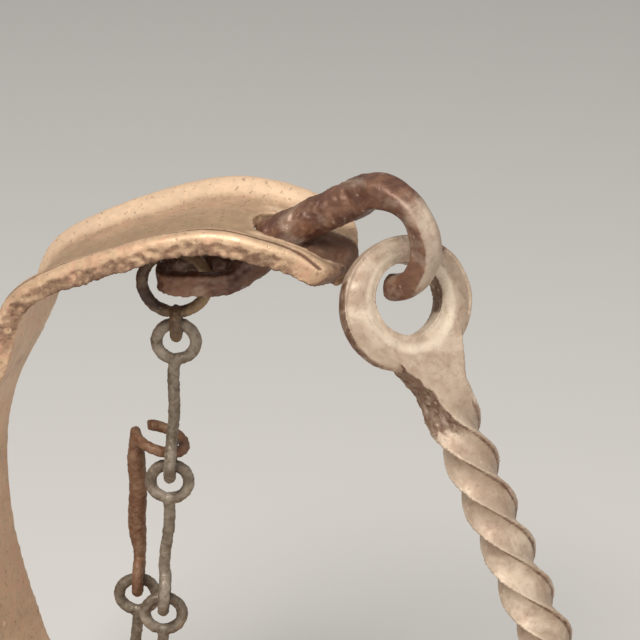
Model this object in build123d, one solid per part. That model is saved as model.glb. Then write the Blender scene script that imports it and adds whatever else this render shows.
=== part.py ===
from build123d import *
import math
import os

os.makedirs("parts", exist_ok=True)

# A betty lamp standing on its pan, with its hanger folded down over the front.
# Millimetres, +Z up, +X towards the nose. The origin is on the table, in the flat base, and the
# slot in the arm's tip stands almost over it.

# Pan
bowl_radius = 36.0      # rim of the round bowl, outside
nose_reach = 58.0       # from the middle of the bowl to the middle of the nose
nose_radius = 7.5       # rim of the nose, outside
bowl_x = -10.0          # middle of the bowl
pan_depth = 24.0
pan_flare = 3.0         # how much the rim stands out past the base
pan_wall = 1.6
pan_floor = 1.6
base_rounding = 1.5

# Cover: a fixed deck behind, a hinged lid in front
cover_sheet = 1.2
skirt_depth = 3.6       # the deck's edge, folded down over the rim
skirt_sheet = 1.0
hinge_x = -8.0
hinge_barrel = 1.8      # outer radius of the knuckles
hinge_pin_radius = 0.8
knuckle_half = 5.6      # half the length of the lid's knuckle
barrel_half = 12.0      # half the length of the whole hinge
knuckle_gap = 0.3
lid_front_x = 33.0
knob_x = 21.0
knob_radius = 2.6
knob_neck = 1.5
knob_height = 6.6

# Wick trough
trough_radius = 4.6
trough_sheet = 1.1
trough_back_x = 11.0
trough_front_x = 45.0
trough_back_z = 7.2
trough_front_z = 20.6
tab_length = 9.0
tab_width = 7.0

# Arched arm
arm_half_width = 11.5
arm_floor = 1.7         # thickness of the strap under the flute
arm_rim = 1.8           # how far the two rims stand above the flute
rim_round = 1.2         # from the side of the strap to the crest of a rim
tip_half_width = 4.2
foot_sheet = 2.2
foot_half_width = 9.5
foot_low = 3.0
foot_high = 22.0
slot_x = -8.0           # middle of the slot in the arm's tip
slot_z = 122.0          # top of the flute there
slot_length = 17.4
slot_width = 7.4
slot_ahead = 1.3        # the slot's middle from slot_x
slot_lean = 45.0        # the slot is cut on a slant

# Swivel hook
ring_x = 4.7            # middle of the hook's ring
ring_y = -2.07
ring_drop = 0.2         # the ring's middle below the slot
hook_radius = 7.0       # middle of the bar to the middle of the ring
hook_bar = 2.7          # thickest, where the ring leaves the shank
hook_tip_bar = 1.95     # thinnest, at the end of the ring
shank_bar = 2.8
shank_low_bar = 2.3
hook_turn = -25.0       # the ring is turned towards the lamp's right side
hook_gate = -81.0       # where the bar of the ring ends
loop_length = 13.0
loop_width = 8.6
loop_sheet = 1.9
loop_height = 3.2
loop_lean = 5.0

# Hanger
eye_wide = 10.3         # half the eye's outer width
eye_long = 9.3
hole_wide = 5.3
hole_long = 5.0
hole_rise = 0.6         # the hole is worn towards the hook
eye_thick = 3.3
eye_edge = 1.3
eye_drop = 9.4          # middle of the ring to the middle of the eye
eye_lean = 24.0         # the eye hangs this far from straight under the ring
eye_twist = 70.0        # the eye stands across the ring
hanger_lean = 29.1      # from straight down
twist_side = 5.6
twist_turn = 27.0       # length of one full turn
neck_start = 5.0
twist_start = 12.5
twist_end = 80.0
twist_lead = 7.0        # over this length the twist sets in
neck_width = 12.6
spike_tip = 0.6
side_hook_at = 90.0
side_hook_radius = 6.5
side_hook_bar = 1.7

# Chain and pick
wire = 0.85
link_eye = 2.85
chain_spare = 28.4      # of the height over the pan, what links 2 to 4 don't take up
chain_turn = 12.0       # the eyes that lie flat to the lamp's side are turned this much
chain_lean = 4.0        # links 2 to 5 hang this far from straight down
chain_shift = 1.6       # the first link has slipped this far along the strap's end
chain_play = 0.15
big_eye = 4.7
small_eye = 1.95
pick_wire = 0.8
pick_bar = 1.35
pick_ring = 3.8
pick_rise = 0.95        # the ring's middle above the middle of link 2's lower eye
pick_short = 2.2        # the pick's shank is this much shorter than a link
pick_tilt = 15.0

# Rivets
rivet_shank = 1.4
rivet_head = 2.6
rivet_dome = 1.2
deck_rivet_radius = 0.9

nose_x = bowl_x + nose_reach
link_pitch = (slot_z - pan_depth - chain_spare) / 3
slot = Vector(slot_x, 0, slot_z)


def save(shape, name):
    """Write one sub-part."""
    export_step(shape, f"parts/{name}.step")


def bar(start, end, radius, end_radius=None):
    """A round bar between two points, tapered if a second radius is given."""
    start, end = Vector(start), Vector(end)
    way = end - start
    plane = Plane(origin=start, z_dir=way)
    if end_radius is None or abs(end_radius - radius) < 1e-6:
        return Solid.make_cylinder(radius, way.length, plane)
    return Solid.make_cone(radius, end_radius, way.length, plane)


def ball(centre, radius):
    """A ball that blends two bars at a bend."""
    return Solid.make_sphere(radius, Plane(origin=Vector(centre)))


def arc_bar(centre, across, upward, radius, thick, start, end):
    """A round bar bent to an arc, from angle start to angle end, measured from across to upward."""
    x, y = Vector(across).normalized(), Vector(upward).normalized()
    a = math.radians(start)
    first = x * math.cos(a) + y * math.sin(a)
    plane = Plane(origin=Vector(centre), x_dir=first, z_dir=x.cross(y))
    return Solid.make_torus(radius, thick, plane, 0, 360, end - start)


def bent_taper(centre, across, upward, radius, stations):
    """A round bar bent to an arc, tapered between stations of (angle, thickness)."""
    x, y = Vector(across).normalized(), Vector(upward).normalized()
    places = [stations[0]]
    for (a, thin), (b, thick) in zip(stations, stations[1:]):
        steps = max(1, round(abs(b - a) / 22))
        places += [(a + (b - a) * i / steps, thin + (thick - thin) * i / steps) for i in range(1, steps + 1)]
    way = 1 if stations[-1][0] > stations[0][0] else -1
    sections = []
    for degrees, thick in places:
        a = math.radians(degrees)
        away = x * math.cos(a) + y * math.sin(a)
        ahead = (y * math.cos(a) - x * math.sin(a)) * way
        plane = Plane(origin=Vector(centre) + away * radius, x_dir=away, z_dir=ahead)
        sections.append(plane * Circle(thick))
    return loft(sections)


def fused(pieces):
    """One solid from overlapping pieces."""
    whole = pieces[0]
    for piece in pieces[1:]:
        whole = whole + piece
    return whole


# Pan


def teardrop(grow, height):
    """The pan's outline, grown outwards, at a height."""
    with BuildSketch(Plane.XY.offset(height)) as outline:
        with Locations((bowl_x, 0)):
            Circle(bowl_radius + grow)
        with Locations((nose_x, 0)):
            Circle(nose_radius + grow)
        make_hull()
    return outline.sketch


def teardrop_body(grow, low, high):
    """The space inside the flared outline, between two heights."""
    def grown(z):
        return grow - pan_flare * (1 - z / pan_depth)

    return loft([teardrop(grown(low), low), teardrop(grown(high), high)])


def make_pan():
    body = teardrop_body(0, 0, pan_depth)
    body = fillet(body.faces().sort_by(Axis.Z)[0].edges(), base_rounding)
    body = body - teardrop_body(-pan_wall, pan_floor, pan_depth + 2)
    return body


# Arm


def arm_path():
    """The middle of the strap, from the tip over the arch and down to the foot."""
    arch = [(7.0, -6.7), (5.5, -5.0), (3.6, -3.3), (0.5, -1.7), (-4, -0.7), (-8, -0.1), (-11.6, 0.3)]
    arch += [(-14.0, -0.1), (-17.2, -1.2), (-23.8, -4.1), (-31, -7.2), (-36.5, -10.4)]
    points = [(slot_x + x, 0, slot_z + z) for x, z in arch]
    back = bowl_x - bowl_radius
    rise = slot_z - pan_depth
    for out, share in ((1.8, 0.815), (8.6, 0.67), (11.6, 0.49), (9.8, 0.30), (5.4, 0.13), (1.5, 0.015)):
        points.append((back - out, 0, pan_depth + rise * share))
    points.append((back + 0.45 - foot_sheet / 2 + pan_flare / 3, 0, 16))
    return Spline(*points)


def gutter(plane, half, rim, fill):
    """Section of the strap: flat below, a hollow flute between two rounded rims."""
    low, top = -arm_floor / 2, arm_floor / 2 + rim
    middle = arm_floor / 2 + rim * fill
    inner = arm_floor / 2 + rim * (0.24 + 0.76 * fill)
    shoulder = top - min(0.9, 0.6 * rim)
    crest, slope = half - rim_round, max(0.4 * half, half - 3.6 * rim_round)
    upper = [(-half, shoulder), (-crest, top), (-slope, inner), (0, middle)]
    upper += [(slope, inner), (crest, top), (half, shoulder)]
    edges = [
        Spline(*upper),
        Line((half, shoulder), (half, low)),
        ThreePointArc((half, low), (0, low + 0.25), (-half, low)),
        Line((-half, low), (-half, shoulder)),
    ]
    return plane * make_face(edges)


def arm_strap():
    path = arm_path()
    long = path.length
    # distance from the tip, half width, height of the rims, how far the flute is filled
    stations = [
        (0.0, tip_half_width, 0.8, 1.0),
        (1.6, tip_half_width + 1.7, 1.6, 0.8),
        (3.6, arm_half_width - 1.7, arm_rim, 0.25),
        (6.5, arm_half_width - 0.8, arm_rim, 0.0),
        (11.0, arm_half_width - 0.2, arm_rim, 0.0),
        (18.0, arm_half_width, arm_rim, 0.0),
        (32.0, arm_half_width + 0.4, arm_rim, 0.0),
    ]
    count = 13
    for i in range(1, count + 1):
        along = 32.0 + (long - 32.0) * i / count
        narrow = math.sin(math.pi * i / count) ** 2
        fade = min(1.0, (count - i) / 3)
        half = arm_half_width - 1.6 * narrow - 0.6 * (i == count)
        stations.append((along, half, 0.5 + (arm_rim - 0.5) * fade, 0.0))
    sections = []
    for along, half, rim, fill in stations:
        share = along / long
        plane = Plane(origin=path @ share, x_dir=(0, -1, 0), z_dir=path % share)
        sections.append(gutter(plane, half, rim, fill))
    return loft(sections)


def slot_cutter():
    with BuildSketch(Plane.XY.offset(slot_z - arm_floor / 2)) as outline:
        with Locations((slot_x + slot_ahead, 0)):
            SlotOverall(slot_length, slot_width)
    lean = math.radians(slot_lean)
    return extrude(outline.sketch, amount=9, dir=(math.sin(lean), 0, math.cos(lean)), both=True)


def arm_rivet_places():
    """Where the arm's rivets go through foot and wall: (degrees round the bowl, height)."""
    return [(172.0, 8.0), (188.0, 8.0), (180.0, 12.6)]


def deck_rivet_places():
    return [(120.0, pan_depth - skirt_depth / 2), (240.0, pan_depth - skirt_depth / 2)]


def wall_plane(place, grow):
    """Square to the bowl's flared wall, on its outside grown by a sheet."""
    angle, height = math.radians(place[0]), place[1]
    lean = math.atan(pan_flare / pan_depth)
    ring = bowl_radius - pan_flare * (1 - height / pan_depth)
    away = Vector(math.cos(angle), math.sin(angle), 0)
    normal = away * math.cos(lean) - Vector(0, 0, math.sin(lean))
    return Plane(origin=Vector(bowl_x, 0, height) + away * ring + normal * grow, z_dir=normal)


def wall_hole(place, radius):
    return Solid.make_cylinder(radius, 12, wall_plane(place, -6))


def wall_rivet(place, sheet, shank, head, height):
    """A rivet through the wall and a sheet outside it, with a low head on both sides."""
    outer = wall_plane(place, sheet)
    hollow = head**2 / bowl_radius * 0.55 + 0.02
    back = wall_plane(place, -pan_wall - hollow)
    inner = Plane(origin=back.origin, z_dir=back.z_dir * -1)
    body = Solid.make_cylinder(shank, sheet + pan_wall + hollow, back)
    return fused([body, dome(outer, head, height), dome(inner, head, height)])


def dome(plane, radius, height):
    """A low round rivet head standing on a plane."""
    sphere = (radius**2 + height**2) / (2 * height)
    cap = Solid.make_sphere(sphere, plane.offset(height - sphere))
    return cap & Solid.make_cylinder(radius + 1, height + 1, plane)


def make_arm():
    foot = teardrop_body(foot_sheet, foot_low, foot_high)
    middle = (foot_low + foot_high) / 2
    keep = Pos(bowl_x - bowl_radius, 0, middle) * Box(12, 2 * foot_half_width, foot_high - foot_low)
    keep = fillet(keep.edges().filter_by(Axis.X), 4.0)
    arm = arm_strap() + (foot & keep)
    arm = arm - teardrop_body(0, 0, pan_depth + 6)
    arm = arm - slot_cutter()
    for spot in arm_rivet_places():
        arm = arm - wall_hole(spot, rivet_shank)
    return arm.solids().sort_by(SortBy.VOLUME)[-1]


def make_arm_rivets():
    spots = arm_rivet_places()
    return Compound([wall_rivet(spot, foot_sheet, rivet_shank, rivet_head, rivet_dome) for spot in spots])


# Cover


def make_deck():
    top = pan_depth + cover_sheet
    deck = teardrop_body(skirt_sheet, pan_depth - skirt_depth, top)
    deck = deck - teardrop_body(0, pan_depth - skirt_depth - 1, pan_depth)
    front = hinge_x - hinge_barrel - knuckle_gap
    deck = deck & (Pos(front - 50, 0, pan_depth) * Box(100, 100, 20))
    deck = deck - (Pos(hinge_x + 44, 0, pan_depth - 10) * Box(100, 100, 20))
    deck = deck - (Pos(bowl_x - bowl_radius, 0, pan_depth) * Box(14, 2 * arm_half_width + 0.6, 30))
    axis_z = pan_depth + hinge_barrel
    reach = hinge_barrel + knuckle_gap
    for side in (-1, 1):
        low, high = knuckle_half + knuckle_gap / 2, barrel_half
        y = side * (low + high) / 2
        knuckle = bar((hinge_x, side * low, axis_z), (hinge_x, side * high, axis_z), hinge_barrel)
        leaf = Box(reach + 1, high - low, cover_sheet)
        deck = deck + Pos(hinge_x - reach / 2, y, pan_depth + cover_sheet / 2) * leaf + knuckle
    deck = deck - bar((hinge_x, -20, axis_z), (hinge_x, 20, axis_z), hinge_pin_radius)
    for spot in deck_rivet_places():
        deck = deck - wall_hole(spot, deck_rivet_radius)
    return deck


def make_lid():
    plate = teardrop_body(0, pan_depth, pan_depth + cover_sheet)
    rear = hinge_x + hinge_barrel + knuckle_gap
    long = lid_front_x - rear
    plate = plate & (Pos(rear + long / 2, 0, pan_depth) * Box(long, 100, 20))
    nose_bite = Pos(lid_front_x + 3.0, 0, pan_depth) * Cylinder(6.5, 20)
    plate = plate - nose_bite
    axis_z = pan_depth + hinge_barrel
    half = knuckle_half - knuckle_gap / 2
    reach = hinge_barrel + knuckle_gap
    leaf = Pos(hinge_x + reach / 2, 0, pan_depth + cover_sheet / 2) * Box(reach + 1, 2 * half, cover_sheet)
    knuckle = bar((hinge_x, -half, axis_z), (hinge_x, half, axis_z), hinge_barrel)
    lid = plate + leaf + knuckle
    lid = lid - bar((hinge_x, -20, axis_z), (hinge_x, 20, axis_z), hinge_pin_radius)
    lid = lid - (Pos(knob_x, 0, pan_depth) * Cylinder(rivet_shank, 20))
    return lid


def make_hinge_pin():
    axis_z = pan_depth + hinge_barrel
    pin = bar((hinge_x, -barrel_half, axis_z), (hinge_x, barrel_half, axis_z), hinge_pin_radius)
    for side in (-1, 1):
        plane = Plane(origin=(hinge_x, side * barrel_half, axis_z), z_dir=(0, side, 0))
        pin = pin + dome(plane, hinge_barrel - 0.2, 0.7)
    return pin


def make_knob():
    """A turned knob, riveted over under the lid."""
    top = pan_depth + cover_sheet
    ball_z = top + knob_height - knob_radius
    with BuildSketch(Plane.XZ) as half:
        with BuildLine():
            Polyline(
                (0, pan_depth - 0.9),
                (2.3, pan_depth - 0.9),
                (2.3, pan_depth),
                (rivet_shank, pan_depth),
                (rivet_shank, top),
                (2.7, top),
                (2.7, top + 0.7),
                (knob_neck, top + 1.3),
                (knob_neck, ball_z),
                (0, ball_z),
                close=True,
            )
        make_face()
    knob = revolve(half.sketch, Axis.Z) + ball((0, 0, ball_z), knob_radius)
    return Pos(knob_x, 0, 0) * knob


def make_deck_rivets():
    spots = deck_rivet_places()
    return Compound([wall_rivet(spot, skirt_sheet, deck_rivet_radius, 1.5, 0.7) for spot in spots])


# Wick trough


def make_trough():
    back = Vector(trough_back_x, 0, trough_back_z)
    front = Vector(trough_front_x, 0, trough_front_z)
    way = front - back
    plane = Plane(origin=back, x_dir=(0, 1, 0), z_dir=way)
    pipe = Solid.make_cylinder(trough_radius, way.length, plane)
    pipe = pipe - Solid.make_cylinder(trough_radius - trough_sheet, way.length, plane)
    cut = Pos(0, trough_radius + 0.6, way.length / 2) * Box(30, 2 * trough_radius, way.length + 2)
    if plane.y_dir.Z < 0:
        cut = Pos(0, -trough_radius - 0.6, way.length / 2) * Box(30, 2 * trough_radius, way.length + 2)
    gutter_piece = pipe - (plane * cut)
    tab_x = trough_back_x - tab_length / 2 + 1.0
    tab_z = pan_floor + trough_sheet / 2
    tab = Pos(tab_x, 0, tab_z) * Box(tab_length, tab_width, trough_sheet)
    post_top = trough_back_z - 0.4 * trough_radius
    post = Pos(trough_back_x + 1.6, 0, (pan_floor + post_top) / 2) * Box(3.4, tab_width, post_top - pan_floor)
    post = post - Solid.make_cylinder(trough_radius - trough_sheet / 2, 60, plane.offset(-20))
    trough = gutter_piece + tab + post
    return trough - trough_hole()


def trough_hole():
    return Pos(trough_back_x - tab_length / 2 + 0.2, 0, 0) * Cylinder(rivet_shank, 20)


def make_trough_rivet():
    """Flush under the floor, a low head on the tab."""
    x = trough_back_x - tab_length / 2 + 0.2
    top = pan_floor + trough_sheet
    shank = bar((x, 0, 0.05), (x, 0, top), rivet_shank)
    return shank + dome(Plane(origin=(x, 0, top)), rivet_head - 0.2, 1.0)


# Swivel hook


def ring_frame():
    """Middle of the ring, its outward direction and its axis."""
    turn = math.radians(hook_turn)
    out = Vector(math.cos(turn), math.sin(turn), 0)
    centre = Vector(ring_x, ring_y, slot_z - ring_drop)
    return centre, out, out.cross(Vector(0, 0, 1))


def loop_middle():
    return slot + Vector(-14.0, 0, -8.9)


def loop_end():
    """Middle of the strap at the loop's far end, where the chain hangs."""
    lean = math.radians(loop_lean)
    way = Vector(-math.cos(lean), 0, -math.sin(lean))
    return loop_middle() + way * (loop_length - loop_sheet) * 0.5


def make_hook():
    centre, out, axis = ring_frame()
    up = Vector(0, 0, 1)
    leave = math.radians(122.0)
    first = centre + out * hook_radius * math.cos(leave) + up * hook_radius * math.sin(leave)
    joint = slot + Vector(9.0, 0, 5.1)
    through = slot + Vector(-3.5, 0, -1.9)
    low = slot + Vector(-5.2, 0, -5.4)
    start = loop_middle() + Vector(5.3, 0, 0.4)
    gate = math.radians(hook_gate)
    tip = centre + out * hook_radius * math.cos(gate) + up * hook_radius * math.sin(gate)
    ring_stations = [(hook_gate, hook_tip_bar), (56.0, hook_tip_bar + 0.1), (122.0, hook_bar)]
    pieces = [
        bent_taper(centre, out, up, hook_radius, ring_stations),
        ball(tip, hook_tip_bar),
        ball(first, hook_bar),
        bar(first, joint, hook_bar, shank_bar),
        ball(joint, shank_bar),
        bar(joint, through, shank_bar, 2.45),
        ball(through, 2.45),
        bar(through, low, 2.45, shank_low_bar),
        ball(low, shank_low_bar),
        bar(low, start, shank_low_bar, 2.0),
        ball(start, 2.0),
    ]
    hook = fused(pieces)
    with BuildSketch() as outer:
        SlotOverall(loop_length, loop_width)
    with BuildSketch() as inner:
        SlotOverall(loop_length - 2 * loop_sheet, loop_width - 2 * loop_sheet)
    place = Location(loop_middle()) * Rotation(0, -loop_lean, 0)
    hole = place * extrude(inner.sketch, amount=6, both=True)
    strap = place * extrude(outer.sketch, amount=loop_height / 2, both=True)
    return fused([hook - hole, strap - hole]).solids().sort_by(SortBy.VOLUME)[-1]


# Hanger


def hanger_frame():
    """Middle of the eye, the way down the shank, across the eye and square to it."""
    centre, out, axis = ring_frame()
    lean = math.radians(hanger_lean)
    down = out * math.sin(lean) - Vector(0, 0, 1) * math.cos(lean)
    under = math.radians(eye_lean)
    hang = out * math.sin(under) - Vector(0, 0, 1) * math.cos(under)
    middle = centre + hang * eye_drop
    side = down.cross(axis)
    twist = math.radians(eye_twist)
    across = side * math.cos(twist) + axis * math.sin(twist)
    return middle, down, across, down.cross(across)


def square(middle, down, across, side, turn):
    plane = Plane(origin=middle, x_dir=across, z_dir=down)
    return plane * Rot(0, 0, turn) * Rectangle(side, side)


def shank_turn(along):
    """How far the shank has turned, in degrees, at a distance from the middle of the eye."""
    done = along - twist_start
    if done < twist_lead:
        return -360.0 * done**2 / (2 * twist_lead * twist_turn)
    return -360.0 * (done - twist_lead / 2) / twist_turn


def eye_hole(middle, across, face, grow):
    """The worn hole of the eye."""
    plane = Plane(origin=middle, x_dir=across, z_dir=face)
    outline = Pos(0, hole_rise) * Ellipse(hole_wide + grow, hole_long + grow)
    return extrude(plane * outline, amount=20, both=True)


def flat_eye(middle, across, face):
    """A flat forged eye with rounded edges, thinner where it hangs in the hook."""
    plane = Plane(origin=middle, x_dir=across, z_dir=face)
    eye = extrude(plane * Ellipse(eye_wide, eye_long), amount=eye_thick / 2, both=True)
    eye = eye - eye_hole(middle, across, face, 0)
    return fillet(eye.edges().filter_by(GeomType.ELLIPSE), eye_edge)


def make_hanger():
    middle, down, across, face = hanger_frame()
    eye = flat_eye(middle, across, face)
    neck_plane = Plane(origin=middle + down * neck_start, x_dir=across, z_dir=down)
    waist = neck_plane.offset(0.5 * (twist_start - neck_start))
    neck = loft([
        neck_plane * Rectangle(neck_width, eye_thick),
        waist * Rectangle(0.74 * neck_width, 0.5 * (eye_thick + twist_side)),
        square(middle + down * twist_start, down, across, twist_side, 0),
    ])
    neck = neck - eye_hole(middle, across, face, 0.3)
    steps = round((twist_end - twist_start) / twist_turn * 16)
    sections = []
    for i in range(steps + 1):
        along = twist_start + (twist_end - twist_start) * i / steps
        sections.append(square(middle + down * along, down, across, twist_side, shank_turn(along)))
    shank = loft(sections)
    last = shank_turn(twist_end)
    tip_at = (middle.Z - spike_tip * 1.6) / math.cos(math.radians(hanger_lean))
    spike = loft([
        square(middle + down * twist_end, down, across, twist_side, last),
        square(middle + down * (twist_end + 14), down, across, 0.86 * twist_side, last),
        square(middle + down * tip_at, down, across, 2 * spike_tip, last),
    ])
    centre, out, axis = ring_frame()
    outward = axis.cross(down).normalized()
    if outward.dot(out) < 0:
        outward = outward * -1
    root = middle + down * side_hook_at
    bend = root + outward * side_hook_radius
    point = bend + outward * side_hook_radius
    end = point - down * 13
    side = fused([
        ball(root, side_hook_bar),
        arc_bar(bend, outward * -1, down, side_hook_radius, side_hook_bar, 0, 180),
        bar(point, end, side_hook_bar, 0.6),
        ball(end, 0.6),
    ])
    return fused([eye, neck, shank, spike, side])


# Chain


def chain_frame():
    """Where the first link hangs, along the eyes that lie flat, and square to them."""
    turn = math.radians(chain_turn)
    along = Vector(math.cos(turn), math.sin(turn), 0)
    front = Vector(math.sin(turn), -math.cos(turn), 0)
    return loop_end() + along * chain_shift, along, front


def hang_frame():
    """The same for the links below, which lean a little: along, front and up."""
    place, along, front = chain_frame()
    lean = math.radians(chain_lean)
    up = Vector(0, 0, 1)
    return along * math.cos(lean) - up * math.sin(lean), front, up * math.cos(lean) + along * math.sin(lean)


def first_top():
    """Middle of the first link's top wire."""
    return chain_frame()[0] + Vector(0, 0, 1) * (loop_height / 2 + wire + chain_play + 1.0)


def link_top(number):
    """Middle of the top wire of link 2, 3 or 4."""
    up = hang_frame()[2]
    small_bottom = first_top() - Vector(0, 0, 1) * (2 * big_eye + 2 * small_eye - 0.25)
    return small_bottom + up * (2 * wire + chain_play - link_pitch * (number - 2))


def wire_eye(centre, across, upward, radius, thick, gap):
    """An eye bent from the wire, its cut end just short of the shank."""
    return arc_bar(centre, across, upward, radius, thick, -90, 270 - gap)


def link(top):
    """One wire with an eye at each end, the lower eye across the upper one. top is its top wire's middle."""
    along, front, up = hang_frame()
    long = link_pitch + 2 * wire + chain_play
    high = top - up * link_eye
    low = top - up * (long - link_eye)
    pieces = [
        wire_eye(high, along, up, link_eye, wire, 34),
        bar(high - up * link_eye, low + up * link_eye, wire),
        ball(high - up * link_eye, wire),
        wire_eye(low, front, up * -1, link_eye, wire, 34),
        ball(low + up * link_eye, wire),
    ]
    return fused(pieces)


def make_first_link():
    place, along, front = chain_frame()
    up = Vector(0, 0, 1)
    big = first_top() - up * big_eye
    low = big - up * (big_eye + small_eye - 0.25)
    return fused([
        wire_eye(big, along, up, big_eye, wire, 24),
        wire_eye(low, front, up * -1, small_eye, wire, 40),
        ball(big - up * big_eye, wire),
    ])


def pick_points():
    """Ring, its tilted way out, top and foot of the shank, and lower eye of the pick."""
    along, front, up = hang_frame()
    second_eye = link_top(2) - up * (link_pitch + 2 * wire + chain_play - link_eye)
    tilt = math.radians(pick_tilt)
    out = up * math.sin(tilt) - along * math.cos(tilt)
    ring = second_eye + out * (pick_ring - 1.85) - front * (link_eye + 0.4) + up * pick_rise
    top = ring + out * pick_ring
    foot = second_eye - along * 4.4 - front * 5.85 - up * (link_pitch - pick_short)
    eye = foot - up * link_eye - front * 0.2
    return ring, out, top, foot, eye


def make_pick():
    front = hang_frame()[1]
    up = hang_frame()[2]
    ring, out, top, foot, eye = pick_points()
    way = foot - top
    return fused([
        arc_bar(ring, out, front, pick_ring, pick_wire, 0, 300),
        ball(top, pick_wire),
        bar(top, top + way * 0.2, pick_wire, pick_bar),
        bar(top + way * 0.2, top + way * 0.78, pick_bar),
        bar(top + way * 0.78, foot, pick_bar, wire),
        ball(foot, wire),
        wire_eye(eye, front, up * -1, link_eye, wire, 34),
    ])


def fifth_top():
    """Top wire of the link that hangs on the pick."""
    return pick_points()[4] + hang_frame()[2] * (2 * wire + chain_play - link_eye)


pan = make_pan()
arm = make_arm()
deck = make_deck()
trough = make_trough()
for spot in arm_rivet_places():
    pan = pan - wall_hole(spot, rivet_shank)
for spot in deck_rivet_places():
    pan = pan - wall_hole(spot, deck_rivet_radius)
pan = pan - trough_hole()

save(pan, "pan")
save(arm, "arm")
save(make_arm_rivets(), "arm_rivets")
save(deck, "rear_deck")
save(make_deck_rivets(), "deck_rivets")
save(make_lid(), "lid")
save(make_hinge_pin(), "lid_hinge_pin")
save(make_knob(), "lid_knob")
save(trough, "wick_trough")
save(make_trough_rivet(), "trough_rivet")
save(make_hook(), "swivel_hook")
save(make_hanger(), "hanger")
save(make_first_link(), "chain_link_1")
for number in (2, 3, 4):
    save(link(link_top(number)), f"chain_link_{number}")
save(link(fifth_top()), "chain_link_5")
save(make_pick(), "wick_pick")
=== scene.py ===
import logging
import math
from dataclasses import dataclass
from enum import Enum

import bmesh
import bpy
import numpy as np
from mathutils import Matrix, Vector


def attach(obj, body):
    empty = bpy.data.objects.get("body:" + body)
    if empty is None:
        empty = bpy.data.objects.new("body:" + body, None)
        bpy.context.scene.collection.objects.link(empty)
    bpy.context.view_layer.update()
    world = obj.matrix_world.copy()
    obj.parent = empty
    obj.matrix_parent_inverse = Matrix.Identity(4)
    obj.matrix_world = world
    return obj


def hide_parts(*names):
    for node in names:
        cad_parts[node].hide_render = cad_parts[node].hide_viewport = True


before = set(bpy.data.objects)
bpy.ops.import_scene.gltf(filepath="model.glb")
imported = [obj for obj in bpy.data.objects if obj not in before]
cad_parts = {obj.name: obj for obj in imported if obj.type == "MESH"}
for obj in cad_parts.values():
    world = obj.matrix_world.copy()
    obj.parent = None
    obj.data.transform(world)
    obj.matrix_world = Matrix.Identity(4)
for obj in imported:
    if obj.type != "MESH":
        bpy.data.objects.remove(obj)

logging.basicConfig(level=logging.INFO, format="%(message)s")
log = logging.getLogger("betty_lamp")

Colour = tuple[float, float, float, float]
Point = tuple[float, float, float]
Socket = bpy.types.NodeSocket
MM = 0.001


def shade(red: int, green: int, blue: int) -> Colour:
    """Turn a display colour of 0 to 255 into the linear colour that shaders use.

    Args:
        red: red as displayed.
        green: green as displayed.
        blue: blue as displayed.

    Returns:
        The linear colour with full opacity.
    """
    parts = []
    for value in (red, green, blue):
        part = value / 255
        parts.append(part / 12.92 if part <= 0.04045 else ((part + 0.055) / 1.055) ** 2.4)
    return parts[0], parts[1], parts[2], 1.0


def bell(distance: np.ndarray, width: float) -> np.ndarray:
    """A smooth bump that is 1 at no distance and fades over a width."""
    return np.exp(-((distance / width) ** 2))


def step(values: np.ndarray, low: float, high: float) -> np.ndarray:
    """Rise smoothly from 0 at low to 1 at high."""
    share = np.clip((values - low) / (high - low), 0.0, 1.0)
    return share * share * (3 - 2 * share)


def pick_only(piece: bpy.types.Object) -> None:
    """Deselect everything and make one object active.

    Args:
        piece: the object that operators act on next.
    """
    bpy.ops.object.select_all(action="DESELECT")
    piece.select_set(True)
    bpy.context.view_layer.objects.active = piece


def apply_modifiers(piece: bpy.types.Object) -> None:
    """Apply all modifiers of an object, in order.

    Args:
        piece: the object.
    """
    pick_only(piece)
    for name in [modifier.name for modifier in piece.modifiers]:
        bpy.ops.object.modifier_apply(modifier=name)


def points_of(piece: bpy.types.Object) -> np.ndarray:
    """Read the vertices of a mesh as an array of rows, in metres."""
    flat = np.empty(len(piece.data.vertices) * 3)
    piece.data.vertices.foreach_get("co", flat)
    return flat.reshape(-1, 3)


def normals_of(piece: bpy.types.Object) -> np.ndarray:
    """Read the vertex normals of a mesh as an array of rows."""
    flat = np.empty(len(piece.data.vertices) * 3)
    piece.data.vertices.foreach_get("normal", flat)
    return flat.reshape(-1, 3)


def put_points(piece: bpy.types.Object, points: np.ndarray) -> None:
    """Write moved vertices back to a mesh.

    Args:
        piece: the object.
        points: one row per vertex, in metres.
    """
    piece.data.vertices.foreach_set("co", points.reshape(-1))
    piece.data.update()


def paint(piece: bpy.types.Object, name: str, values: np.ndarray) -> None:
    """Store one number per vertex, which a material reads by name.

    Args:
        piece: the object.
        name: the attribute's name.
        values: one value of 0 to 1 per vertex.
    """
    layer = piece.data.attributes.new(name, "FLOAT", "POINT")
    layer.data.foreach_set("value", np.clip(values, 0.0, 1.0).astype(np.float32))


class Relief(Enum):
    """The kinds of unevenness that forging, casting and rust leave."""

    HAMMERED = "hammered"
    PITTED = "pitted"


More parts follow.
